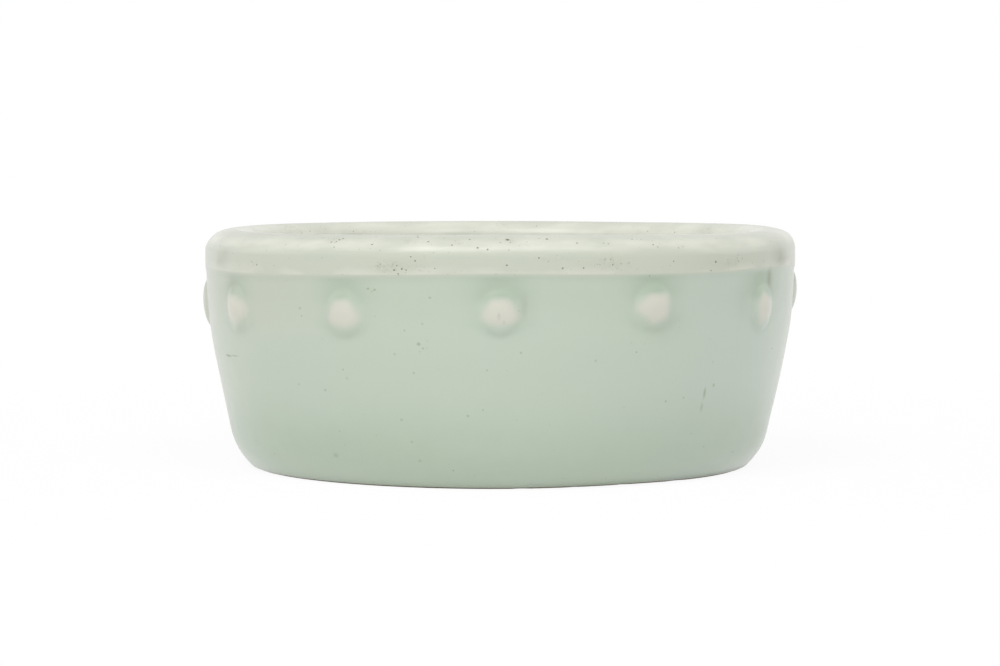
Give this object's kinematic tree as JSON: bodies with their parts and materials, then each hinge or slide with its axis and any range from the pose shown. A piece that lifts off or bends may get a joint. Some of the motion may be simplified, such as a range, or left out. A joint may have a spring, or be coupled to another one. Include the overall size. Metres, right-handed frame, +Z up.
{
  "type": "chinese brush washer",
  "caption": "Low round celadon-glazed bowl with a thick rolled collar, a ring of applied bosses under it and a bare foot ring.",
  "frame": {"origin": "centre of the foot ring, on the surface that the washer stands on", "axes": "+Z up along the axis of the bowl; -Y is the front that the picture shows, with one boss at its middle; +X is to the right"},
  "size_m": [0.1211, 0.1211, 0.0482],
  "materials": {
    "body_clay": "fired pale stoneware, matte, fine grained",
    "boss_clay": "fired pale stoneware slip, pinkish, matte",
    "bare_foot_clay": "unglazed, burnt a warm pinkish tan, slightly gritty",
    "green_glaze": "pale grey-green celadon, soft satin gloss, paler and creamier on rims, pinholed"
  },
  "bodies": {
    "root": {"thrown_body": "body_clay", "rim_collar": "body_clay", "foot_ring": "bare_foot_clay", "glaze_coat": "green_glaze", "base_glaze": "green_glaze", "boss_01": "boss_clay", "boss_02": "boss_clay", "boss_03": "boss_clay", "boss_04": "boss_clay", "boss_05": "boss_clay", "boss_06": "boss_clay", "boss_07": "boss_clay", "boss_08": "boss_clay", "boss_09": "boss_clay", "boss_10": "boss_clay", "boss_11": "boss_clay", "boss_12": "boss_clay"}
  },
  "joints": []
}
